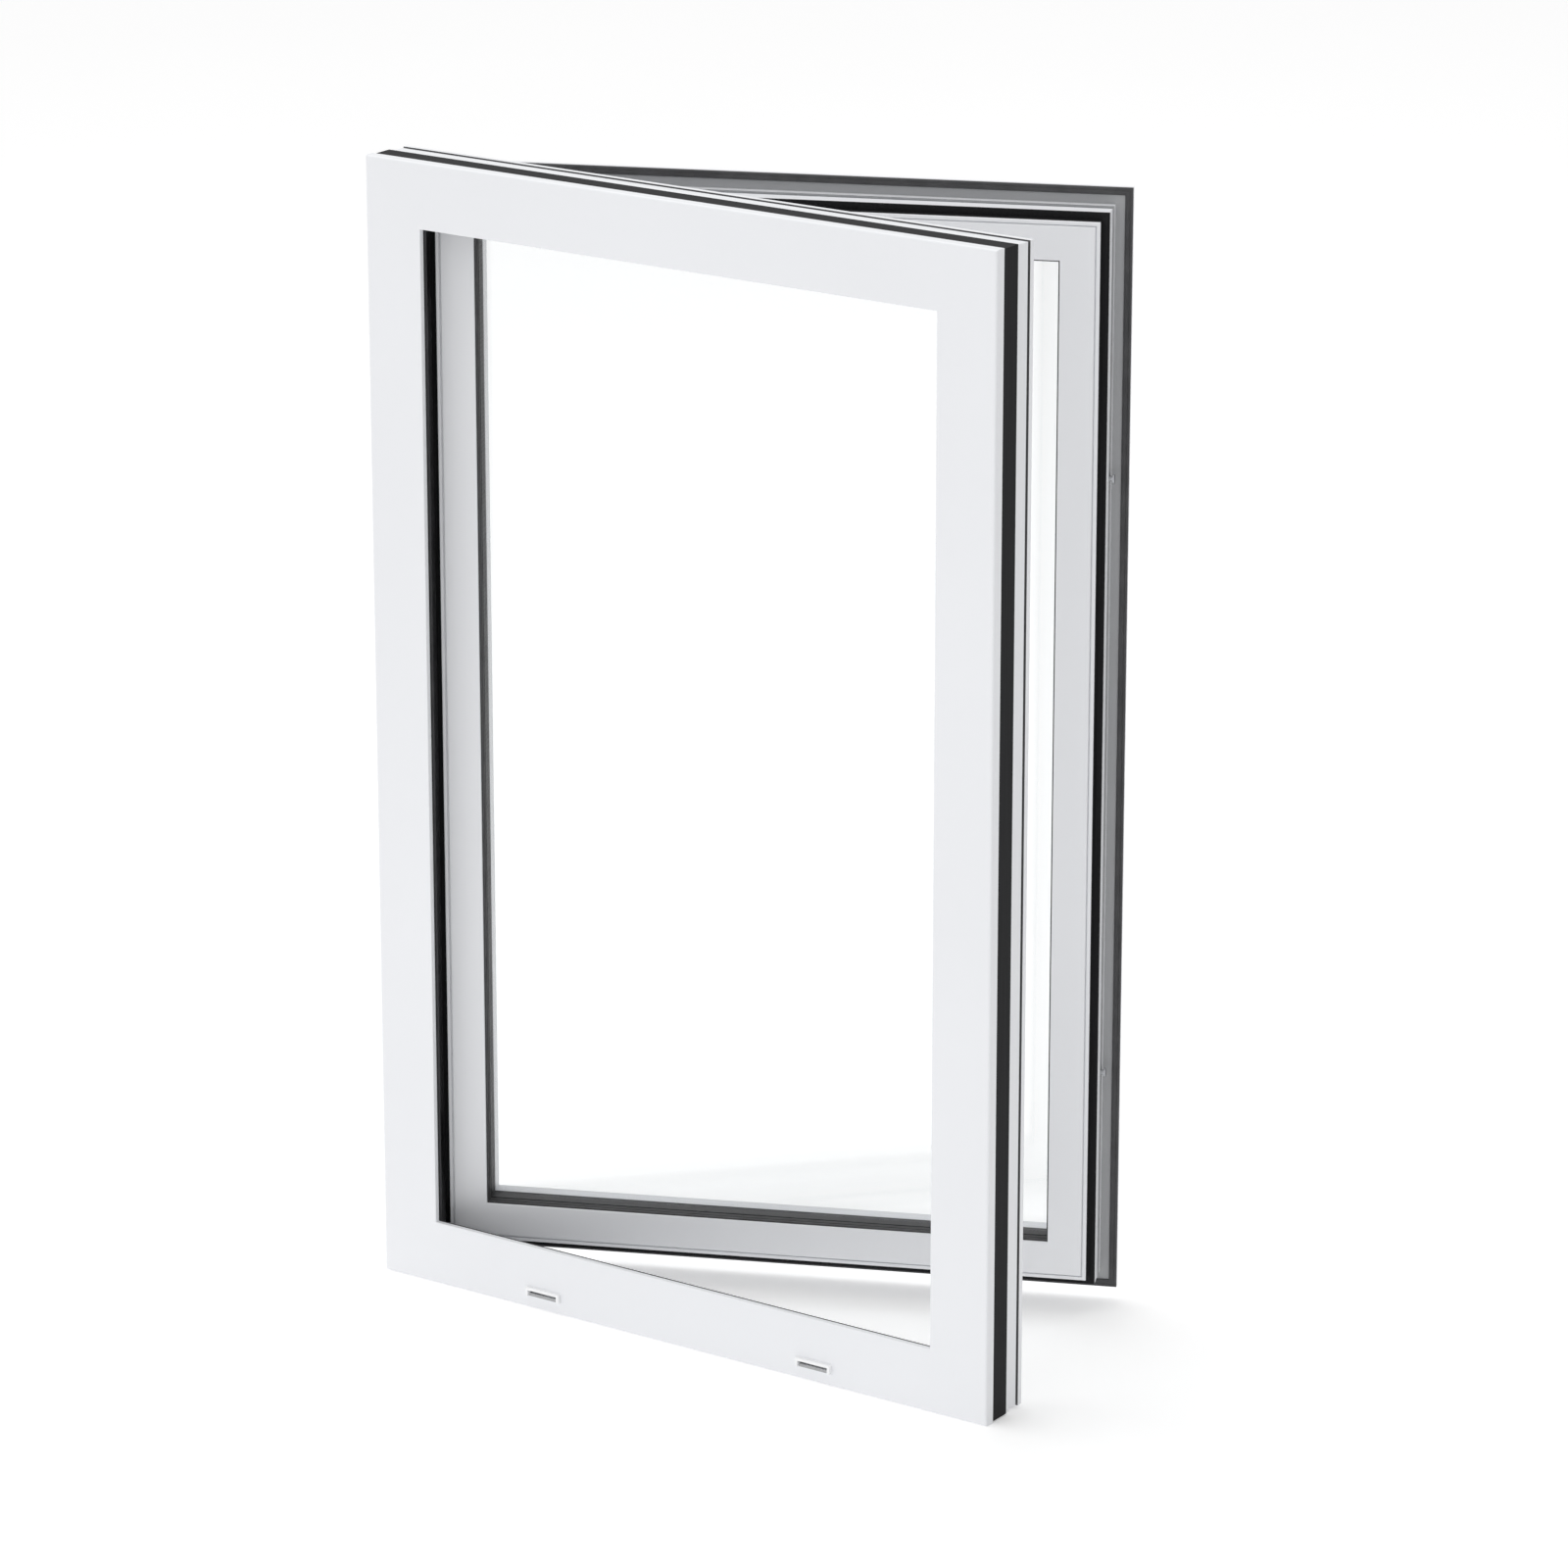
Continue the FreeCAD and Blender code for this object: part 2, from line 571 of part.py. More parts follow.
def pinion_outline():
    """Twelve involute teeth, thinned by the backlash; a tooth points at the rack."""
    base_r = pitch_r * math.cos(math.radians(20.0))
    tip_r = pitch_r + PINION_ADDENDUM
    root_r = pitch_r - pinion_dedendum
    half_tooth = (tooth_pitch / 2.0 - BACKLASH) / 2.0 / pitch_r
    inv_pitch = math.tan(math.radians(20.0)) - math.radians(20.0)
    flank = []
    for i in range(6):
        r = base_r + (tip_r - base_r) * i / 5.0
        alpha = math.acos(min(1.0, base_r / r))
        flank.append((r, half_tooth + inv_pitch - (math.tan(alpha) - alpha)))
    points = []
    for tooth in range(GEAR_TEETH):
        centre = 2.0 * math.pi * tooth / GEAR_TEETH
        points.append((root_r, centre - flank[0][1] - 0.02))
        points += [(r, centre - a) for r, a in flank]
        points += [(r, centre + a) for r, a in reversed(flank)]
        points.append((root_r, centre + flank[0][1] + 0.02))
    return [(r * math.cos(a), r * math.sin(a)) for r, a in points]


def pinion():
    """Pinion on the handle's axis, with a hub each side and a square bore."""
    corners = [V(handle_x + px, gear_y - PINION_WIDTH / 2, middle_z + pz)
               for px, pz in pinion_outline()]
    teeth = Part.Face(Part.makePolygon(corners + corners[:1])).extrude(V(0, PINION_WIDTH, 0))
    reach = PINION_WIDTH / 2 + 1.0 + CASE_WALL
    hub = cylinder(HUB_R, (handle_x, gear_y - reach, middle_z), (handle_x, gear_y + reach, middle_z))
    return fuse([teeth, hub]).cut(spindle())


def spindle():
    s = SQUARE / 2.0
    y0 = gear_y - PINION_WIDTH / 2
    return box(handle_x - s, y0, middle_z - s, handle_x + s, room_face + 26.0, middle_z + s)


def rack(z_mid):
    """Rack teeth on the side of the rod that faces the pinion; a gap takes the pinion's tooth."""
    x_root = half - rack_root_e
    x_tip = half - (rack_pitch_e + RACK_ADDENDUM)
    slope = math.tan(math.radians(20.0))
    drop = rack_pitch_e - rack_root_e
    at_root = (tooth_pitch / 2.0 - BACKLASH) / 2.0 + drop * slope
    at_tip = (tooth_pitch / 2.0 - BACKLASH) / 2.0 - RACK_ADDENDUM * slope
    y0 = gear_y - PINION_WIDTH / 2 - 0.5
    teeth = []
    count = 5
    shift = round(z_mid / tooth_pitch)
    for i in range(-count + shift, count + shift):
        zc = middle_z + (i + 0.5) * tooth_pitch
        points = [V(x_root + 0.2, y0, zc - at_root), V(x_root, y0, zc - at_root)]
        points += [V(x_tip, y0, zc - at_tip), V(x_tip, y0, zc + at_tip)]
        points += [V(x_root, y0, zc + at_root), V(x_root + 0.2, y0, zc + at_root)]
        teeth.append(Part.Face(Part.makePolygon(points + points[:1])).extrude(V(0, PINION_WIDTH + 1, 0)))
    return teeth


def cam_z():
    """A cam at rest stands one full travel below its hook, free to leave the keep."""
    return [z - travel for z in keep_z]


def drive_rod():
    z0 = ROD_END - travel / 2.0
    z1 = FRAME_HEIGHT - ROD_END - travel / 2.0
    bar = box(half - rod_e1, gear_y - ROD_WIDTH / 2, z0, half - rod_e0, gear_y + ROD_WIDTH / 2, z1)
    return fuse([bar] + rack(-travel / 2.0))


def locking_cams():
    """Mushroom cams riveted to the rod."""
    y_mid = SASH_SETBACK + groove_mid
    cams = []
    for z in cam_z():
        stem = cylinder(3.0, (half - rod_e0, y_mid, z), (half - SASH_WALL_E + CAM_REACH, y_mid, z))
        head = cylinder(CAM_R, (half - SASH_WALL_E + CAM_REACH - 2.0, y_mid, z),
                        (half - SASH_WALL_E + CAM_REACH, y_mid, z))
        cams.append(fuse([stem, head]))
    return group(cams)


def keep(z):
    """Striker on the lock jamb: a plate with a hook wall behind the locked cam."""
    x_wall = half - FRAME_INNER_E
    y_cam = SASH_SETBACK + groove_mid
    y0, y1 = frame_break_y + 2.0, FRAME_DEPTH - 1.0
    plate = box(x_wall - KEEP_PLATE, y0, z - KEEP_LENGTH / 2, x_wall, y1, z + KEEP_LENGTH / 2)
    hook_y = y_cam + CAM_R + SLIDE_GAP
    reach = SASH_WALL_E - 2.5 - FRAME_INNER_E
    hook = box(x_wall - reach, hook_y, z - HOOK_LENGTH / 2, x_wall, hook_y + KEEP_WALL,
               z + HOOK_LENGTH / 2)
    stop_z = z + CAM_R + 1.5
    stop = box(x_wall - reach, y_cam - CAM_R - 1.0, stop_z, x_wall, hook_y + KEEP_WALL,
               stop_z + KEEP_WALL)
    return fuse([plate, hook, stop])


def keep_screws(recessed):
    """Screws through each keep's ends into the lock jamb, plain ones to cut their holes."""
    head_x = half - FRAME_INNER_E - KEEP_PLATE
    y = (frame_break_y + FRAME_DEPTH) / 2.0 + 1.0
    screws = []
    for z_mid in keep_z:
        for side in (-1, 1):
            z = z_mid + side * (KEEP_LENGTH / 2 - KEEP_SCREW_END)
            head = Part.makeCone(SCREW_HEAD_R, SCREW_R, SCREW_HEAD_R - SCREW_R, V(head_x, y, z),
                                 V(1, 0, 0))
            one = head.fuse(cylinder(SCREW_R, (head_x, y, z), (head_x + 10.0, y, z)))
            if recessed:
                one = one.cut(cylinder(SCREW_R * 0.8, (head_x, y, z), (head_x + 1.2, y, z)))
            screws.append(one)
    return screws


def gearbox_case():
    """Case in the lock stile that carries the pinion and takes the handle screws."""
    e0 = groove_floor_e + 1.5
    e1 = REBATE_E - WALL - 0.5
    reach = PINION_WIDTH / 2 + 1.0 + CASE_WALL
    y0, y1 = gear_y - reach, gear_y + reach
    length = HANDLE_SCREWS / 2 + 8.0
    body = box(half - e1, y0, middle_z - length, half - e0, y1, middle_z + length)
    gap = PINION_WIDTH / 2 + 0.5
    clear_r = pitch_r + PINION_ADDENDUM + 0.7
    cavity = cylinder(clear_r, (handle_x, gear_y - gap, middle_z), (handle_x, gear_y + gap, middle_z))
    bore = cylinder(HUB_R + RUNNING, (handle_x, y0 - 1, middle_z), (handle_x, y1 + 1, middle_z))
    return body.cut(cavity).cut(bore)


def rosette():
    w, h = ROSETTE_WIDTH / 2, ROSETTE_LENGTH / 2
    body = box(handle_x - w, room_face, middle_z - h, handle_x + w, room_face + ROSETTE_THICK,
               middle_z + h)
    upright = [ed for ed in body.Edges if ed.BoundBox.YLength > ROSETTE_THICK - 0.1]
    body = body.makeFillet(w - 0.5, upright)
    front = [ed for ed in body.Edges if ed.BoundBox.YMin > room_face + ROSETTE_THICK - 0.01]
    body = body.makeFillet(1.8, front)
    bore = cylinder(NECK_R + RUNNING, (handle_x, room_face - 1, middle_z),
                    (handle_x, room_face + ROSETTE_THICK + 1, middle_z))
    return body.cut(bore)


def handle_screws(maker):
    y = room_face + ROSETTE_THICK
    length = y - (gear_y - 2.0)
    points = [middle_z - HANDLE_SCREWS / 2, middle_z + HANDLE_SCREWS / 2]
    return [maker(handle_x, z, y, length, HANDLE_SCREW_R, HANDLE_SCREW_HEAD_R) for z in points]


def handle_lever():
    """Cast lever, pointing up at rest: round neck, bend and a flattened grip."""
    y_grip = room_face + LEVER_STAND
    neck = cylinder(NECK_R, (handle_x, room_face + 1.0, middle_z), (handle_x, y_grip, middle_z))
    z_end = middle_z + LEVER_LENGTH
    grip = box(handle_x - LEVER_WIDTH / 2, y_grip - LEVER_THICK / 2, middle_z - LEVER_WIDTH / 2,
               handle_x + LEVER_WIDTH / 2, y_grip + LEVER_THICK / 2, z_end)
    across = [ed for ed in grip.Edges if ed.BoundBox.YLength > LEVER_THICK - 0.1]
    grip = grip.makeFillet(LEVER_WIDTH / 2 - 0.5, across)
    rims = [ed for ed in grip.Edges if ed.BoundBox.YLength < 0.1]
    grip = grip.makeFillet(3.5, rims)
    return fuse([neck, grip]).cut(spindle())


def floor_slot():
    """Window in the lock stile's groove floor for the rack and pinion."""
    reach = 5.0 * tooth_pitch + travel / 2.0 + 6.0
    return box(half - groove_floor_e - 1.6, SASH_SETBACK + GROOVE_FROM - 1.0, middle_z - reach,
               half - groove_floor_e + 0.1, SASH_SETBACK + GROOVE_TO + 3.0, middle_z + reach)


# ------------------------------------------------------------------ bodies
def frame_parts():
    parts = {}
    leaf_cuts = frame_hinge_screws(solid_screw)
    for side in SIDES:
        exterior = member(frame_exterior_section(), side)
        interior = member(frame_interior_section(), side)
        if side == "sill":
            exterior = exterior.cut(group(drain_cuts()))
            interior = interior.cut(group(sill_fixings()))
        if side == "hinge":
            interior = interior.cut(group(jamb_fixings())).cut(group(leaf_cuts))
        if side == "lock":
            interior = interior.cut(group(keep_screws(False)))
        parts["frame_exterior_" + side] = exterior
        parts["frame_interior_" + side] = interior
        parts["frame_break_" + side] = frame_break_strips(side)
    parts["frame_lip_gasket"] = frame_lip_gasket()
    parts["frame_centre_gasket"] = frame_centre_gasket()
    parts["frame_outer_cleats"] = corner_cleats(WALL + 1.0, FRAME_CHAMBER_E - WALL - 12.0,
                                                WALL + 0.3, FRAME_SHELL_DEPTH - WALL - 0.3, 75.0)
    slot_floor = FRAME_SIDE_INSET + FRAME_GROOVE_INSET + FRAME_SLOT_DEPTH
    parts["frame_inner_cleats"] = corner_cleats(slot_floor + WALL + 1.0, FRAME_INNER_E - WALL - 0.3,
                                                frame_break_y + WALL + 0.3, FRAME_DEPTH - WALL - 0.3,
                                                70.0)
    parts["drain_caps"] = group(drain_cap(x) for x in (-CAP_X, CAP_X))
    leaves = []
    for z in hinge_z:
        leaves.append(hinge_frame_leaf(z).cut(hinge_bore(z, PIN_R)).cut(group(leaf_cuts)))
    parts["hinge_frame_leaves"] = group(leaves)
    parts["hinge_pins"] = group(hinge_pin(z) for z in hinge_z)
    parts["hinge_frame_screws"] = group(frame_hinge_screws(screw))
    parts["keeps"] = group(keep(z).cut(group(keep_screws(False))) for z in keep_z)
    parts["keep_screws"] = group(keep_screws(True))
    return parts


def sash_parts():
    parts = {}
    leaf_cuts = group(sash_hinge_screws(solid_screw))
    for side in SIDES:
        interior = sash_member(sash_interior_section(), side)
        if side == "hinge":
            interior = interior.cut(leaf_cuts)
        if side == "lock":
            hole = cylinder(NECK_R + 0.5, (handle_x, gear_y, middle_z),
                            (handle_x, room_face + 1, middle_z))
            interior = interior.cut(floor_slot()).cut(hole).cut(group(handle_screws(solid_screw)))
        parts["sash_exterior_" + side] = sash_member(sash_exterior_section(), side)
        parts["sash_interior_" + side] = interior
        parts["sash_break_" + side] = sash_break_strips(side)
        parts["glazing_bead_" + side] = sash_member(bead_section(), side)
    parts["overlap_gasket"] = ring(overlap_gasket_section(), SASH_SETBACK)
    parts["outer_glazing_gasket"] = ring(outer_gasket_section(), SASH_SETBACK)
    parts["inner_glazing_gasket"] = ring(inner_gasket_section(), SASH_SETBACK)
    parts["outer_pane"] = pane(GLASS_FRONT)
    parts["inner_pane"] = pane(GLASS_FRONT + PANE + CAVITY)
    parts["glass_spacer"] = pane_edge_ring(SPACER_E, SPACER_SIGHT_E)
    parts["glass_edge_seal"] = pane_edge_ring(GLASS_E + 0.5, SPACER_E)
    parts["setting_blocks"] = setting_blocks()
    y0 = SASH_SETBACK
    parts["sash_outer_cleats"] = corner_cleats(SASH_E + WALL + 0.3, REBATE_E - WALL - 0.3,
                                               y0 + WALL + 0.3, y0 + SASH_SHELL_DEPTH - WALL - 0.3,
                                               110.0)
    parts["sash_inner_cleats"] = corner_cleats(groove_floor_e + 1.8, REBATE_E - WALL - 0.3,
                                               y0 + BREAK_TO + WALL + 0.3,
                                               y0 + sash_depth - WALL - 0.3, 110.0)
    leaves = []
    for z in hinge_z:
        leaves.append(hinge_sash_leaf(z).cut(hinge_bore(z, bush_r)).cut(leaf_cuts))
    parts["hinge_sash_leaves"] = group(leaves)
    parts["hinge_bushes"] = group(hinge_bush(z) for z in hinge_z)
    parts["hinge_sash_screws"] = group(sash_hinge_screws(screw))
    cuts = group(handle_screws(solid_screw))
    parts["gearbox_case"] = gearbox_case().cut(cuts)
    parts["handle_rosette"] = rosette().cut(cuts)
    parts["handle_screws"] = group(handle_screws(screw))
    return parts


def moving_lock_parts():
    return {"handle_lever": handle_lever(), "handle_spindle": spindle(), "drive_pinion": pinion(),
            "drive_rod": drive_rod(), "locking_cams": locking_cams()}


def main():
    os.makedirs("parts", exist_ok=True)
    opened = dict(sash_parts())
    opened.update(moving_lock_parts())
    for shape in opened.values():
        shape.rotate(V(hinge_x, hinge_y, 0), V(0, 0, 1), REST_ANGLE)
    nodes = frame_parts()
    nodes.update(opened)
    for name in sorted(nodes):
        nodes[name].translate(V(0, -FRAME_SHELL_DEPTH / 2.0, 0))
        nodes[name].exportStep("parts/" + name + ".step")
    print(len(nodes), "nodes")


main()
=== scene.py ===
import json
import math
import random
import bpy
import bmesh
from mathutils import Matrix, Vector


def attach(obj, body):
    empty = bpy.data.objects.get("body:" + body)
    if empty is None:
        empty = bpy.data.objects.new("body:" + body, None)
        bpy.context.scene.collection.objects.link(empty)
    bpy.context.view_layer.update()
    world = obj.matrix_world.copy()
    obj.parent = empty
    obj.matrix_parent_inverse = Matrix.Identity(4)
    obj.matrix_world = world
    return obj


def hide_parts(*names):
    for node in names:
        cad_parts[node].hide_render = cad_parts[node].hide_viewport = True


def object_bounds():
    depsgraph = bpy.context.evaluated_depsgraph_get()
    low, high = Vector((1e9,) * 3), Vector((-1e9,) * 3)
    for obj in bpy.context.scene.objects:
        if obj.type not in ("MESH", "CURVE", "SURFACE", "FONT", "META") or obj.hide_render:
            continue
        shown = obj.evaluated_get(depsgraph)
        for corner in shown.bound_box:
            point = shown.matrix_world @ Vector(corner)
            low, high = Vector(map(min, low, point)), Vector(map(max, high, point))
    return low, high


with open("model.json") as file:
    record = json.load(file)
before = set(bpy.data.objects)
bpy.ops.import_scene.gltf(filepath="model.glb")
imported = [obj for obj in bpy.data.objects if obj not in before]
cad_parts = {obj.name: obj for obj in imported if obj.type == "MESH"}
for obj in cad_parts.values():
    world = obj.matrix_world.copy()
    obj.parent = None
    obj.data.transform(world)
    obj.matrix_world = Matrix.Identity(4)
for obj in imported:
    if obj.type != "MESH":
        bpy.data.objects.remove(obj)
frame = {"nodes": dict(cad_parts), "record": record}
cad_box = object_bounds()

# ------------------------------------------------------------ frame shells
# The fixed frame: four mitred aluminium extrusions outside and four inside, crimped over corner
# cleats and powder-coated white. The coat is satin, with a fine orange-peel skin. The walls of the
# narrow slots in the inner shells are painted dark grey, as painted shade.

nodes = frame["nodes"]
SIDES = ("head", "sill", "hinge", "lock")
COAT_SHADE = (0.86, 0.87, 0.895)
COAT_LIGHT = (0.875, 0.885, 0.91)
FRAME_ROUGH = (0.36, 0.44)
SLOT_PAINTED_SHADE = (0.13, 0.13, 0.135)
SLOT_DEPTHS = (0.036, 0.062)
SLOT_WALLS = (0.0, 1.0, 0.0)


def new_material(name, colour, roughness, metallic=0.0):
    material = bpy.data.materials.new(name)
    material.use_nodes = True
    tree = material.node_tree
    bsdf = tree.nodes["Principled BSDF"]
    bsdf.inputs["Base Color"].default_value = (*colour, 1.0)
    bsdf.inputs["Roughness"].default_value = roughness
    bsdf.inputs["Metallic"].default_value = metallic
    place = tree.nodes.new("ShaderNodeTexCoord")
    return material, tree, bsdf, place


def add_node(tree, kind, **inputs):
    """A new node with some inputs set. An underscore in an input's name stands for a space."""
    node = tree.nodes.new(kind)
    for key, value in inputs.items():
        node.inputs[key.replace("_", " ")].default_value = value
    return node


def reckon(tree, operation, *terms):
    """A sum worked out by the shader, from other nodes' outputs and plain numbers."""
    node = tree.nodes.new("ShaderNodeMath")
    node.operation = operation
    for socket, term in zip(node.inputs, terms):
        if isinstance(term, bpy.types.NodeSocket):
            tree.links.new(term, socket)
        else:
            socket.default_value = term
    return node.outputs["Value"]


def vary_colour(tree, bsdf, source, dark, light):
    """Lay a slow change between two close colours over the base."""
    ramp = tree.nodes.new("ShaderNodeValToRGB")
    ramp.color_ramp.elements[0].position = 0.35
    ramp.color_ramp.elements[0].color = (*dark, 1.0)
    ramp.color_ramp.elements[1].position = 0.65
    ramp.color_ramp.elements[1].color = (*light, 1.0)
    tree.links.new(source, ramp.inputs["Fac"])
    tree.links.new(ramp.outputs["Color"], bsdf.inputs["Base Color"])


def vary_roughness(tree, bsdf, source, low, high):
    """Let the gloss change a little over the surface."""
    spread = add_node(tree, "ShaderNodeMapRange", To_Min=low, To_Max=high)
    tree.links.new(source, spread.inputs["Value"])
    tree.links.new(spread.outputs["Result"], bsdf.inputs["Roughness"])


def add_bump(tree, bsdf, source, strength, distance):
    """Raise fine detail in the surface, up to a distance in metres."""
    bump = add_node(tree, "ShaderNodeBump", Strength=strength, Distance=distance)
    tree.links.new(source, bump.inputs["Height"])
    tree.links.new(bump.outputs["Normal"], bsdf.inputs["Normal"])


def powder_coat(name, dark, light, rough):
    """Baked powder: an even colour, a slightly cloudy gloss and an orange-peel skin."""
    low, high = rough
    material, tree, bsdf, place = new_material(name, light, (low + high) / 2)
    cloud = add_node(tree, "ShaderNodeTexNoise", Scale=3.0, Detail=2.0)
    peel = add_node(tree, "ShaderNodeTexNoise", Scale=620.0, Detail=2.0, Roughness=0.4)
    for texture in (cloud, peel):
        tree.links.new(place.outputs["Object"], texture.inputs["Vector"])
    vary_colour(tree, bsdf, cloud.outputs["Fac"], dark, light)
    vary_roughness(tree, bsdf, cloud.outputs["Fac"], low, high)
    add_bump(tree, bsdf, peel.outputs["Fac"], 0.12, 0.0002)
    bsdf.inputs["Coat Weight"].default_value = 0.25
    bsdf.inputs["Coat Roughness"].default_value = 0.22
    return material


def paint_shade_on_faces(material, towards, colour, depths=None, both_ways=False):
    """Paint shade, as a plain tone under the coat, on the faces that look one way and lie between two
    depths.
    """
    tree = material.node_tree
    place = tree.nodes["Texture Coordinate"]
    bsdf = tree.nodes["Principled BSDF"]
    coat = bsdf.inputs["Base Color"].links[0].from_socket
    facing = tree.nodes.new("ShaderNodeVectorMath")
    facing.operation = "DOT_PRODUCT"
    facing.inputs[1].default_value = towards
    tree.links.new(place.outputs["Normal"], facing.inputs[0])
    amount = facing.outputs["Value"]
    if both_ways:
        amount = reckon(tree, "ABSOLUTE", amount)
    edge = add_node(tree, "ShaderNodeMapRange", From_Min=0.90, From_Max=0.97)
    tree.links.new(amount, edge.inputs["Value"])
    amount = edge.outputs["Result"]
    if depths:
        split = tree.nodes.new("ShaderNodeSeparateXYZ")
        tree.links.new(place.outputs["Object"], split.inputs["Vector"])
        for limit, test in zip(depths, ("GREATER_THAN", "LESS_THAN")):
            within = reckon(tree, test, split.outputs["Y"], limit)
            amount = reckon(tree, "MULTIPLY", amount, within)
    blend = tree.nodes.new("ShaderNodeMixRGB")
    blend.inputs["Color2"].default_value = (*colour, 1.0)
    tree.links.new(amount, blend.inputs["Fac"])
    tree.links.new(coat, blend.inputs["Color1"])
    tree.links.new(blend.outputs["Color"], bsdf.inputs["Base Color"])


def dress(node_names, material):
    """Put one material on CAD nodes."""
    for name in node_names:
        mesh = nodes[name].data
        mesh.materials.clear()
        mesh.materials.append(material)


frame_coat = powder_coat("white_powder_coat", COAT_SHADE, COAT_LIGHT, FRAME_ROUGH)
slot_shaded_coat = powder_coat("frame_channel_coat", COAT_SHADE, COAT_LIGHT, FRAME_ROUGH)
# Painted shade: the slot walls that face front or back, between the two depths, are coloured dark
# grey.
paint_shade_on_faces(slot_shaded_coat, SLOT_WALLS, SLOT_PAINTED_SHADE, depths=SLOT_DEPTHS, both_ways=True)
dress(["frame_exterior_" + side for side in SIDES], frame_coat)
dress(["frame_interior_" + side for side in SIDES], slot_shaded_coat)

# ------------------------------------------------------------ sash shells and beads
# The opening sash: the same mitred construction, with a hardware groove round its edge, a flange
# that laps the frame from the room, and snap-in beads that hold the glass. Same coat, silkier; the
# flange faces that look outwards are painted grey, as painted shade.

joints = {j["name"]: j for j in frame["record"]["behaviour"]["joints"]}
handle_axis = joints["handle_turn"]["axis"]
sash_angle = math.atan2(handle_axis[0], -handle_axis[1])
sash_outwards = (math.sin(sash_angle), -math.cos(sash_angle), 0.0)
SASH_ROUGH = (0.34, 0.42)
FLANGE_PAINTED_SHADE = (0.40, 0.405, 0.415)

sash_coat = powder_coat("sash_powder_coat", COAT_SHADE, COAT_LIGHT, SASH_ROUGH)
flange_shaded_coat = powder_coat("sash_flange_coat", COAT_SHADE, COAT_LIGHT, SASH_ROUGH)
# Painted shade: the outward flange faces, set back behind the sash's sides, are coloured grey.
paint_shade_on_faces(flange_shaded_coat, sash_outwards, FLANGE_PAINTED_SHADE)
dress(["sash_exterior_" + side for side in SIDES], sash_coat)
dress(["sash_interior_" + side for side in SIDES], flange_shaded_coat)
dress(["glazing_bead_" + side for side in SIDES], sash_coat)

# ------------------------------------------------------------ insulating strips
# Glass-filled black polyamide strips rolled into both shells, which keep the cold shell from the
# warm one. Extrusion leaves fine lines along them.

STRIP_DARK = (0.012, 0.012, 0.013)
STRIP_LIGHT = (0.024, 0.024, 0.026)
UPRIGHT_LINES = (1400.0, 1400.0, 6.0)
LEVEL_LINES = (6.0, 1400.0, 1400.0)


def extruded_finish(name, dark, light, lines_per_metre):
    """A dull surface with fine lines, drawn out along the axis that has the fewest of them."""
    material, tree, bsdf, place = new_material(name, light, 0.5)
    stretch = add_node(tree, "ShaderNodeMapping")
    stretch.inputs["Scale"].default_value = lines_per_metre
    lines = add_node(tree, "ShaderNodeTexNoise", Scale=1.0, Detail=3.0, Roughness=0.6)
    tree.links.new(place.outputs["Object"], stretch.inputs["Vector"])
    tree.links.new(stretch.outputs["Vector"], lines.inputs["Vector"])
    vary_colour(tree, bsdf, lines.outputs["Fac"], dark, light)
    vary_roughness(tree, bsdf, lines.outputs["Fac"], 0.48, 0.66)
    add_bump(tree, bsdf, lines.outputs["Fac"], 0.35, 0.0002)
    bsdf.inputs["Specular IOR Level"].default_value = 0.08
    return material


upright_strip = extruded_finish("black_polyamide_upright", STRIP_DARK, STRIP_LIGHT, UPRIGHT_LINES)
level_strip = extruded_finish("black_polyamide_level", STRIP_DARK, STRIP_LIGHT, LEVEL_LINES)
for side in SIDES:
    strip = upright_strip if side in ("hinge", "lock") else level_strip
    dress(["frame_break_" + side, "sash_break_" + side], strip)

# ------------------------------------------------------------ weather seals
# Extruded EPDM rings, cut and vulcanised at the corners: one behind the frame's lip, a blade in
# the middle of the frame, and a bulb round the sash flange. The lip and the bulb have a soft,
# slightly wavy edge.

MM = 0.001
hinge_point = Vector(joints["sash_turn"]["pos_m"])
SEAL_DARK = (0.018, 0.018, 0.020)
SEAL_LIGHT = (0.034, 0.034, 0.037)
BULB_DARK = (0.050, 0.050, 0.053)
BULB_LIGHT = (0.072, 0.072, 0.075)


def rubber(name, dark, light):
    """Matt rubber with a faint bloom and a fine moulded grain."""
    material, tree, bsdf, place = new_material(name, light, 0.6)
    bloom = add_node(tree, "ShaderNodeTexNoise", Scale=38.0, Detail=4.0)
    skin = add_node(tree, "ShaderNodeTexNoise", Scale=1900.0, Detail=2.0)
    for texture in (bloom, skin):
        tree.links.new(place.outputs["Object"], texture.inputs["Vector"])
    vary_colour(tree, bsdf, bloom.outputs["Fac"], dark, light)
    vary_roughness(tree, bsdf, bloom.outputs["Fac"], 0.55, 0.72)
    add_bump(tree, bsdf, skin.outputs["Fac"], 0.25, 0.0002)
    bsdf.inputs["Sheen Weight"].default_value = 0.08
    return material


def closed_place(point):
    """Where a point of the open sash lies when the sash is closed."""
    return hinge_point + Matrix.Rotation(-sash_angle, 3, "Z") @ (point - hinge_point)


def open_place(point):
    """Where a point of the closed sash lies when the sash is open."""
    return hinge_point + Matrix.Rotation(sash_angle, 3, "Z") @ (point - hinge_point)


def ring_limits(name, on_sash):
    """Outer box of a ring node in its closed position."""
    points = [v.co.copy() for v in nodes[name].data.vertices]
    if on_sash:
        points = [closed_place(p) for p in points]
    low = Vector(min(p[i] for p in points) for i in range(3))
    high = Vector(max(p[i] for p in points) for i in range(3))
    return low, high


def rounded_profile(points, radius, steps=3):
    """Round every corner of a closed outline a little, as an extruded rubber has it."""
    outline = []
    for i, point in enumerate(points):
        corner = Vector(point)
        before = Vector(points[i - 1]) - corner
        after = Vector(points[(i + 1) % len(points)]) - corner
        reach = min(radius, before.length * 0.45, after.length * 0.45)
        start = corner + before.normalized() * reach
        end = corner + after.normalized() * reach
        for k in range(steps + 1):
            t = k / steps
            outline.append(tuple((1 - t) ** 2 * start + 2 * t * (1 - t) * corner + t * t * end))
    return outline


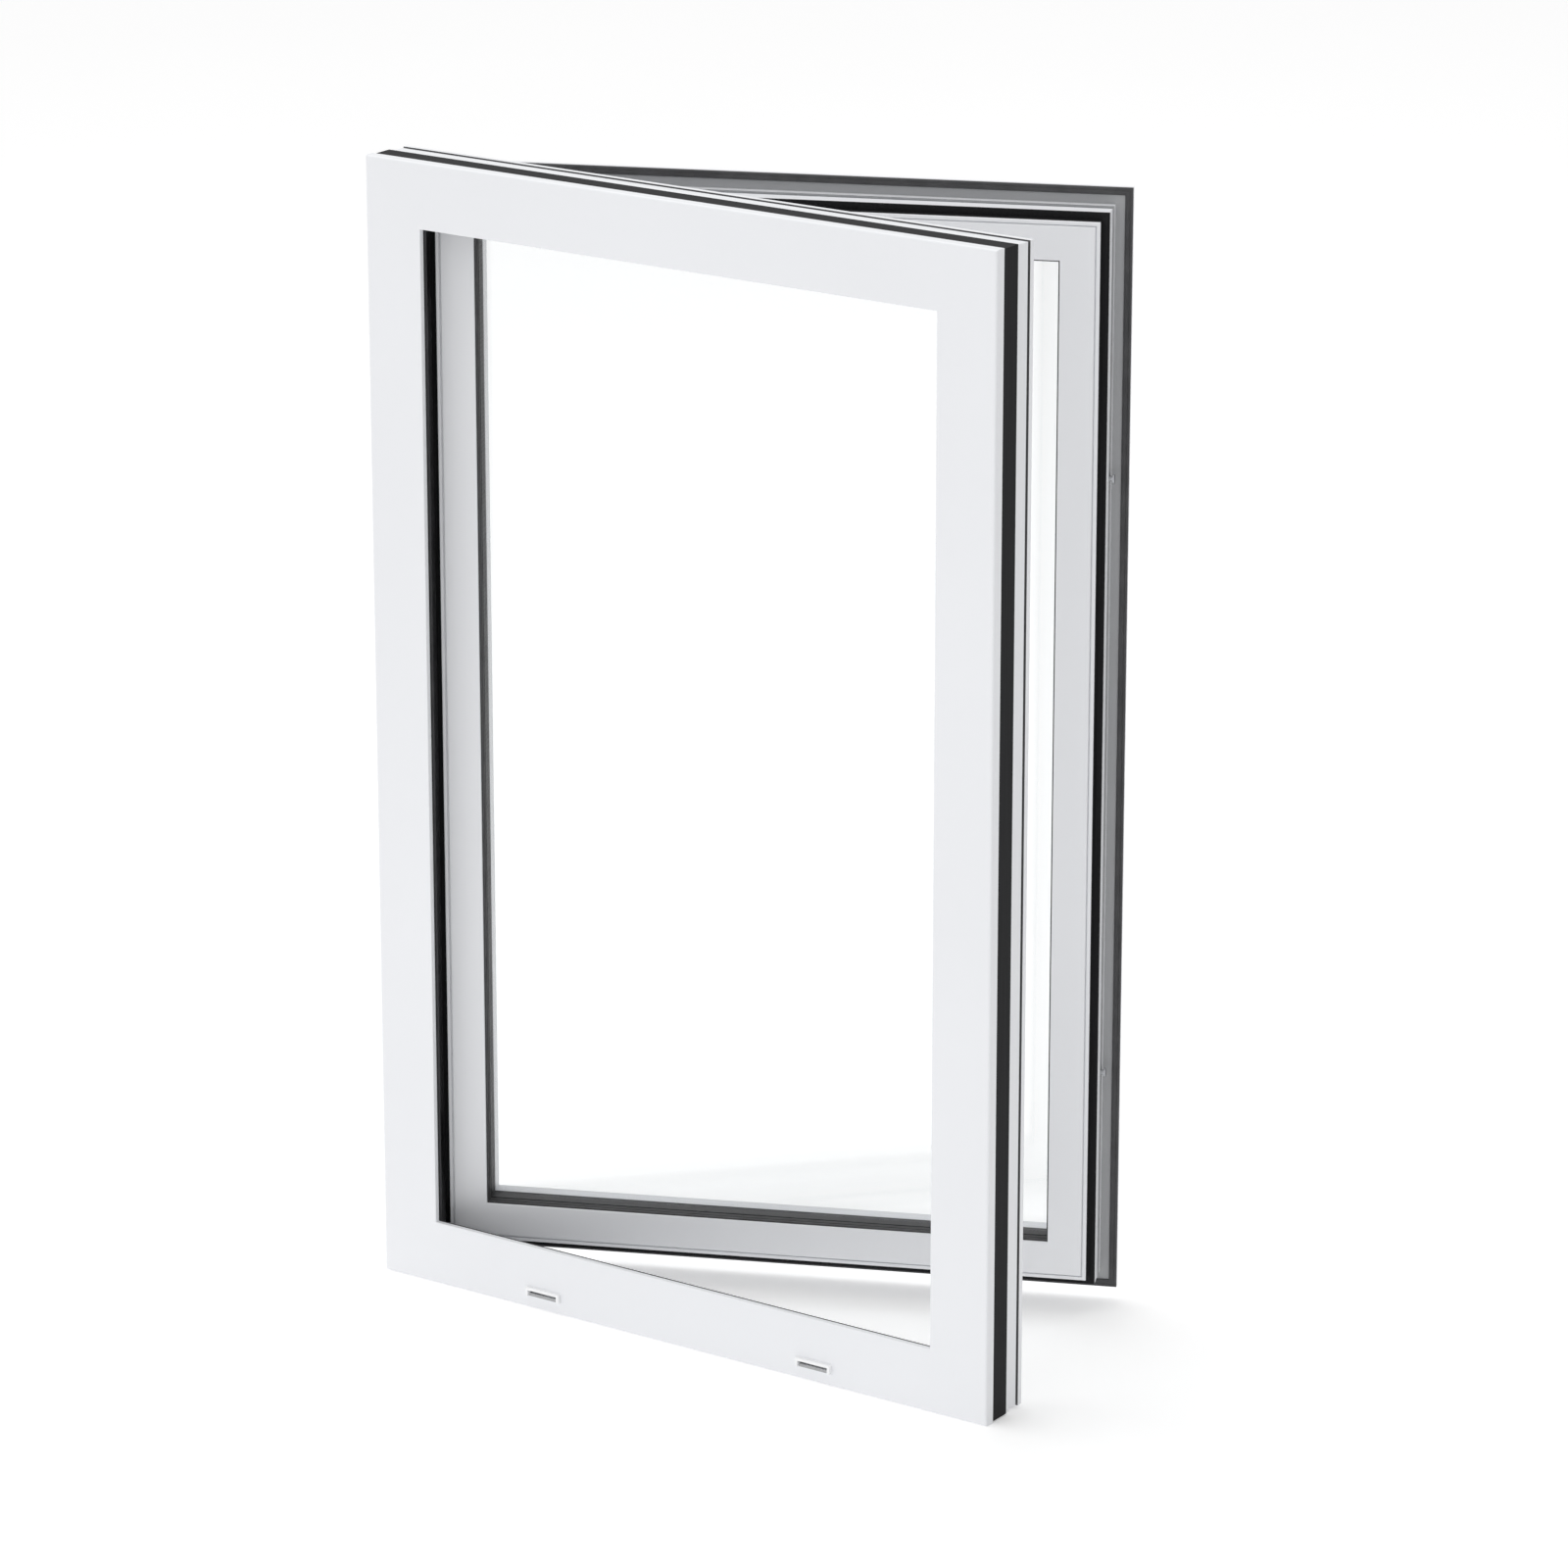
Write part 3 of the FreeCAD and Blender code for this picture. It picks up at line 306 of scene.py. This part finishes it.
def sweep_ring(name, profile, low, high, on_sash, seed, wave=0.00003, pitch=0.02):
    """Sweep an outline of (inwards, depth) round a rectangle, mitred at its corners."""
    rng = random.Random(seed)
    mesh = bmesh.new()
    corners = [(low.x, low.z, 1, 1), (high.x, low.z, -1, 1), (high.x, high.z, -1, -1),
               (low.x, high.z, 1, -1)]
    loops = []
    for i in range(4):
        x0, z0, x0_in, z0_in = corners[i]
        x1, z1, x1_in, z1_in = corners[(i + 1) % 4]
        length = abs(x1 - x0) + abs(z1 - z0)
        count = max(2, int(length / pitch))
        for k in range(count):
            drift = rng.uniform(-wave, wave) if k else 0.0
            loop = []
            for inwards, depth in profile:
                start = Vector((x0 + x0_in * inwards, low.y + depth, z0 + z0_in * inwards))
                end = Vector((x1 + x1_in * inwards, low.y + depth, z1 + z1_in * inwards))
                point = start.lerp(end, k / count)
                point.y += drift if depth > 0 else 0.0
                loop.append(mesh.verts.new(open_place(point) if on_sash else point))
            loops.append(loop)
    size = len(profile)
    for i, loop in enumerate(loops):
        ahead = loops[(i + 1) % len(loops)]
        for k in range(size):
            m = (k + 1) % size
            mesh.faces.new((loop[k], loop[m], ahead[m], ahead[k]))
    bmesh.ops.recalc_face_normals(mesh, faces=mesh.faces)
    data = bpy.data.meshes.new(name)
    mesh.to_mesh(data)
    mesh.free()
    for face in data.polygons:
        face.use_smooth = True
    data.set_sharp_from_angle(angle=math.radians(50))
    piece = bpy.data.objects.new(name, data)
    bpy.context.scene.collection.objects.link(piece)
    return piece


seal_rubber = rubber("black_seal_rubber", SEAL_DARK, SEAL_LIGHT)

lip_low, lip_high = ring_limits("frame_lip_gasket", False)
lip_deep = lip_high.y - lip_low.y
lip_foot = 8.0 * MM
lip_width = 6.2 * MM
lip_groove = lip_width - 1.3 * MM
lip_profile = [(0.0, 0.0), (lip_foot, 0.0), (lip_foot, 3.4 * MM), (lip_width, 3.6 * MM),
               (lip_width, lip_deep - 6.4 * MM), (lip_groove, lip_deep - 5.6 * MM),
               (lip_groove, lip_deep - 4.9 * MM), (lip_width - 0.1 * MM, lip_deep - 4.3 * MM),
               (lip_width - 0.2 * MM, lip_deep - 1.4 * MM), (lip_width - 1.6 * MM, lip_deep),
               (2.0 * MM, lip_deep), (0.6 * MM, lip_deep - 3.0 * MM), (0.0, lip_deep - 8.0 * MM)]
lip_outline = rounded_profile(lip_profile, 0.5 * MM)
lip_seal = sweep_ring("lip_seal", lip_outline, lip_low, lip_high, False, 3)
lip_seal.data.materials.append(seal_rubber)
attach(lip_seal, "frame")
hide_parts("frame_lip_gasket")

flange_low, flange_high = ring_limits("overlap_gasket", True)
bulb_deep = flange_high.y - flange_low.y
bulb_width = 8.4 * MM
bulb_groove = 0.5 * MM
bulb_profile = [(0.0, bulb_groove), (1.4 * MM, 0.0), (2.5 * MM, 0.0), (3.0 * MM, bulb_groove),
                (3.5 * MM, bulb_groove), (4.0 * MM, 0.0), (bulb_width - 1.4 * MM, 0.0),
                (bulb_width, 0.6 * MM), (bulb_width, bulb_deep), (0.0, bulb_deep)]
bulb_outline = rounded_profile(bulb_profile, 0.4 * MM)
flange_seal = sweep_ring("flange_seal", bulb_outline, flange_low, flange_high, True, 4)
flange_seal.data.materials.append(rubber("grey_flange_rubber", BULB_DARK, BULB_LIGHT))
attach(flange_seal, "sash")
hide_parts("overlap_gasket")

dress(["frame_centre_gasket"], seal_rubber)

# ------------------------------------------------------------ glazing gaskets
# Dark grey EPDM wedges pressed in on both sides of the glass, with a small lip that wipes the
# pane and a shadow line where the foot sits in the shell.

WEDGE_DARK = (0.030, 0.030, 0.032)
WEDGE_LIGHT = (0.050, 0.050, 0.053)

glazing_rubber = rubber("grey_glazing_rubber", WEDGE_DARK, WEDGE_LIGHT)
outer_low, outer_high = ring_limits("outer_glazing_gasket", True)
wedge_deep = outer_high.y - outer_low.y
wedge_width = 14.0 * MM
wedge_groove = wedge_width - 0.9 * MM
wedge_profile = [(0.0, 0.0), (wedge_width, 0.0), (wedge_width, 4.6 * MM), (wedge_groove, 5.2 * MM),
                 (wedge_groove, 6.2 * MM), (wedge_width, 6.9 * MM),
                 (wedge_width, wedge_deep - 1.6 * MM), (wedge_width - 0.8 * MM, wedge_deep - 0.9 * MM),
                 (wedge_width, wedge_deep), (0.0, wedge_deep)]
wedge_outline = rounded_profile(wedge_profile, 0.35 * MM)
outer_wedge = sweep_ring("outer_wedge", wedge_outline, outer_low, outer_high, True, 5, wave=0.00001)
outer_wedge.data.materials.append(glazing_rubber)
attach(outer_wedge, "sash")
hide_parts("outer_glazing_gasket")
dress(["inner_glazing_gasket"], glazing_rubber)

# ------------------------------------------------------------ panes
# Two clear float panes with a sealed gap between them. Cut from low-iron sheet, so that they
# hardly tint what is seen through them.

GLASS_BODY = (0.978, 0.984, 0.986)
GLASS_SHADOW = (0.97, 0.98, 0.983)
GLASS_BEND = 1.5


def clear_glass():
    """Clear glass that bends what is seen through it and lets lamplight through."""
    material, tree, bsdf, place = new_material("clear_float_glass", GLASS_BODY, 0.0)
    bsdf.inputs["Transmission Weight"].default_value = 1.0
    bsdf.inputs["IOR"].default_value = GLASS_BEND
    wave = add_node(tree, "ShaderNodeTexNoise", Scale=2.0, Detail=1.0)
    tree.links.new(place.outputs["Object"], wave.inputs["Vector"])
    add_bump(tree, bsdf, wave.outputs["Fac"], 0.02, 0.001)
    through = tree.nodes.new("ShaderNodeBsdfTransparent")
    through.inputs["Color"].default_value = (*GLASS_SHADOW, 1.0)
    path = tree.nodes.new("ShaderNodeLightPath")
    mix = tree.nodes.new("ShaderNodeMixShader")
    tree.links.new(path.outputs["Is Shadow Ray"], mix.inputs["Fac"])
    tree.links.new(bsdf.outputs["BSDF"], mix.inputs[1])
    tree.links.new(through.outputs["BSDF"], mix.inputs[2])
    tree.links.new(mix.outputs["Shader"], tree.nodes["Material Output"].inputs["Surface"])
    return material


dress(["outer_pane", "inner_pane"], clear_glass())

# ------------------------------------------------------------ spacer bar and sealant
# A folded bar between the panes with rows of fine breathing slots over its drying beads, bedded
# in black sealant that closes the unit's edge. Plastic packers carry the glass in the sash.

SPACER_BASE = (0.05, 0.05, 0.053)
SPACER_DARK = (0.035, 0.035, 0.037)
SPACER_LIGHT = (0.055, 0.055, 0.058)
SEALANT_DARK = (0.015, 0.015, 0.015)
SEALANT_LIGHT = (0.03, 0.03, 0.03)
PACKER_DARK = (0.07, 0.13, 0.30)
PACKER_LIGHT = (0.09, 0.16, 0.34)
PACKER_GRAIN = (300.0, 300.0, 300.0)


def spacer_finish():
    """A dark bar with rows of fine slots along it."""
    material, tree, bsdf, place = new_material("perforated_spacer", SPACER_BASE, 0.5)
    rows = add_node(tree, "ShaderNodeTexWave", Scale=60.0)
    rows.bands_direction = "Z"
    tree.links.new(place.outputs["Object"], rows.inputs["Vector"])
    vary_colour(tree, bsdf, rows.outputs["Fac"], SPACER_DARK, SPACER_LIGHT)
    add_bump(tree, bsdf, rows.outputs["Fac"], 0.3, 0.0002)
    return material


dress(["glass_spacer"], spacer_finish())
dress(["glass_edge_seal"], rubber("black_edge_sealant", SEALANT_DARK, SEALANT_LIGHT))
packer_plastic = extruded_finish("blue_glazing_packer", PACKER_DARK, PACKER_LIGHT, PACKER_GRAIN)
dress(["setting_blocks"], packer_plastic)

# ------------------------------------------------------------ corner cleats
# Extruded aluminium angles, sawn to length and crimped inside the mitres, in a mill finish with
# drawn lines.

MILL_DARK = (0.50, 0.505, 0.51)
MILL_LIGHT = (0.66, 0.665, 0.67)
MILL_LINES = (6.0, 500.0, 500.0)

mill_finish = extruded_finish("mill_aluminium", MILL_DARK, MILL_LIGHT, MILL_LINES)
mill_finish.node_tree.nodes["Principled BSDF"].inputs["Metallic"].default_value = 1.0
dress(["frame_outer_cleats", "frame_inner_cleats"], mill_finish)
dress(["sash_outer_cleats", "sash_inner_cleats"], mill_finish)

# ------------------------------------------------------------ drain caps
# White moulded hoods clipped over the sill's drain slots, open underneath so that water leaves
# and wind stays out. Slightly glossier than the coat, and in shade inside their mouths.

CAP_SHADE = (0.95, 0.955, 0.965)
CAP_LIGHT = (0.97, 0.975, 0.98)
CAP_ROUGH = (0.22, 0.3)
MOUTH_GREY = (0.40, 0.405, 0.41)
CAP_WALL = 0.0018
MOUTH_FACES = (0.0, -1.0, 0.0)

cap_white = powder_coat("white_moulded_cap", CAP_SHADE, CAP_LIGHT, CAP_ROUGH)
mouth_depths = (cad_box[0][1] + CAP_WALL, 0.0)
paint_shade_on_faces(cap_white, MOUTH_FACES, MOUTH_GREY, depths=mouth_depths)
dress(["drain_caps"], cap_white)

# ------------------------------------------------------------ hinges
# Face hinges: cast leaves screwed to the frame and to the sash flange, coated with the window,
# turning on stainless pins in nylon bushes.

PIN_DARK = (0.52, 0.52, 0.53)
PIN_LIGHT = (0.64, 0.64, 0.65)
PIN_LINES = (200.0, 200.0, 2500.0)
ZINC_DARK = (0.46, 0.47, 0.49)
ZINC_LIGHT = (0.62, 0.63, 0.65)
ZINC_GRAIN = (900.0, 900.0, 900.0)
NYLON_DARK = (0.66, 0.65, 0.60)
NYLON_LIGHT = (0.72, 0.71, 0.66)


def worked_metal(name, dark, light, low, high, lines_per_metre):
    """Bare metal with the fine marks of its turning, casting or plating."""
    material, tree, bsdf, place = new_material(name, light, (low + high) / 2, 1.0)
    stretch = add_node(tree, "ShaderNodeMapping")
    stretch.inputs["Scale"].default_value = lines_per_metre
    lines = add_node(tree, "ShaderNodeTexNoise", Scale=1.0, Detail=4.0, Roughness=0.65)
    tree.links.new(place.outputs["Object"], stretch.inputs["Vector"])
    tree.links.new(stretch.outputs["Vector"], lines.inputs["Vector"])
    vary_colour(tree, bsdf, lines.outputs["Fac"], dark, light)
    vary_roughness(tree, bsdf, lines.outputs["Fac"], low, high)
    add_bump(tree, bsdf, lines.outputs["Fac"], 0.15, 0.0001)
    return material


stainless = worked_metal("turned_stainless", PIN_DARK, PIN_LIGHT, 0.2, 0.32, PIN_LINES)
zinc = worked_metal("zinc_plated_steel", ZINC_DARK, ZINC_LIGHT, 0.28, 0.42, ZINC_GRAIN)
dress(["hinge_frame_leaves", "hinge_sash_leaves"], frame_coat)
dress(["hinge_pins"], stainless)
dress(["hinge_frame_screws", "hinge_sash_screws"], zinc)
dress(["hinge_bushes"], powder_coat("cream_nylon", NYLON_DARK, NYLON_LIGHT, (0.4, 0.5)))

# ------------------------------------------------------------ lock gear and keeps
# Zinc die-cast gearbox, steel spindle, pinion, cams and keeps. The rod is a drawn aluminium
# strip in the sash groove, driven by the pinion.

dress(["keeps", "keep_screws"], zinc)
dress(["gearbox_case", "handle_spindle", "drive_pinion", "locking_cams"], zinc)
dress(["drive_rod"], mill_finish)

# ------------------------------------------------------------ handle
# A cast lever on an oval rosette, coated white and fastened by two screws through the sash to
# the gearbox.

LEVER_SHADE = (0.78, 0.79, 0.81)
LEVER_LIGHT = (0.82, 0.83, 0.85)
LEVER_ROUGH = (0.28, 0.36)

handle_coat = powder_coat("white_handle_coat", LEVER_SHADE, LEVER_LIGHT, LEVER_ROUGH)
dress(["handle_lever", "handle_rosette"], handle_coat)
dress(["handle_screws"], zinc)

# ------------------------------------------------------------ floor
# A seamless white studio floor of painted board, slightly cloudy, with a faint painted glow of its
# own that keeps the shadows on it pale.

FLOOR_REACH = 18.0
FLOOR_GAP = 0.0002
FLOOR_BASE = (0.94, 0.94, 0.94)
FLOOR_SHADE = (0.935, 0.935, 0.935)
FLOOR_LIGHT = (0.945, 0.945, 0.945)
FLOOR_PAINTED_GLOW = 0.25

floor_mesh = bpy.data.meshes.new("studio_floor")
floor_shape = bmesh.new()
bmesh.ops.create_grid(floor_shape, x_segments=24, y_segments=24, size=FLOOR_REACH)
floor_shape.to_mesh(floor_mesh)
floor_shape.free()
floor = bpy.data.objects.new("studio_floor", floor_mesh)
floor.location.z = cad_box[0][2] - FLOOR_GAP
bpy.context.scene.collection.objects.link(floor)
floor_paint, floor_tree, floor_bsdf, floor_place = new_material("white_floor", FLOOR_BASE, 0.8)
floor_cloud = add_node(floor_tree, "ShaderNodeTexNoise", Scale=0.6, Detail=2.0)
floor_tree.links.new(floor_place.outputs["Object"], floor_cloud.inputs["Vector"])
vary_colour(floor_tree, floor_bsdf, floor_cloud.outputs["Fac"], FLOOR_SHADE, FLOOR_LIGHT)
floor_bsdf.inputs["Specular IOR Level"].default_value = 0.1
floor_bsdf.inputs["Emission Color"].default_value = (1.0, 1.0, 1.0, 1.0)
# Painted light: the floor glows by itself, though no lamp is under it.
floor_bsdf.inputs["Emission Strength"].default_value = FLOOR_PAINTED_GLOW
floor_mesh.materials.append(floor_paint)

# ------------------------------------------------------------ light
# White walls all round that are brighter towards the left, the front and above, so that each side
# of the window has its own tone, and one large soft light overhead.

BRIGHT_SIDE = (-1.0, -0.55, 0.56)
WALL_SPAN = 1.2
WALL_DIM = 0.19
WALL_BRIGHT = 1.03
LIGHT_PLACE = Vector((-0.8, 0.8, 5.0))
LIGHT_TARGET = Vector((0.0, 0.3, 0.0))
LIGHT_SIZE = 4.5
LIGHT_WATTS = 75.0


def studio_walls():
    """The world's light, strongest on the bright side and fading evenly to the other."""
    world = bpy.data.worlds.new("studio_air")
    world.use_nodes = True
    tree = world.node_tree
    place = tree.nodes.new("ShaderNodeTexCoord")
    towards = tree.nodes.new("ShaderNodeVectorMath")
    towards.operation = "DOT_PRODUCT"
    towards.inputs[1].default_value = BRIGHT_SIDE
    spread = add_node(tree, "ShaderNodeMapRange", From_Min=-WALL_SPAN, From_Max=WALL_SPAN,
                      To_Min=WALL_DIM, To_Max=WALL_BRIGHT)
    tree.links.new(place.outputs["Generated"], towards.inputs[0])
    tree.links.new(towards.outputs["Value"], spread.inputs["Value"])
    tree.links.new(spread.outputs["Result"], tree.nodes["Background"].inputs["Strength"])
    tree.nodes["Background"].inputs["Color"].default_value = (1.0, 1.0, 1.0, 1.0)
    return world


bpy.context.scene.world = studio_walls()

light_data = bpy.data.lights.new("overhead_light", "AREA")
light_data.shape = "RECTANGLE"
light_data.size = LIGHT_SIZE
light_data.size_y = LIGHT_SIZE
light_data.energy = LIGHT_WATTS
light = bpy.data.objects.new("overhead_light", light_data)
light.location = LIGHT_PLACE
light.rotation_euler = (LIGHT_TARGET - LIGHT_PLACE).to_track_quat("-Z", "Y").to_euler()
bpy.context.scene.collection.objects.link(light)

# ------------------------------------------------------------ camera
# A long lens on a stand to the front right, a little over twice the window's height above the
# floor and looking slightly down.

CAMERA_PLACE = (3.98745, -5.59483, 2.79247)
CAMERA_TILT = 72.5905
CAMERA_TURN = 34.5399
CAMERA_LENS = 155.97

camera_data = bpy.data.cameras.new("camera")
camera_data.lens = CAMERA_LENS
camera_data.sensor_width = 36.0
camera_data.clip_end = 60.0
camera = bpy.data.objects.new("camera", camera_data)
camera.location = CAMERA_PLACE
camera.rotation_euler = (math.radians(CAMERA_TILT), 0.0, math.radians(CAMERA_TURN))
bpy.context.scene.collection.objects.link(camera)
bpy.context.scene.camera = camera
bpy.context.scene.view_settings.view_transform = "Standard"
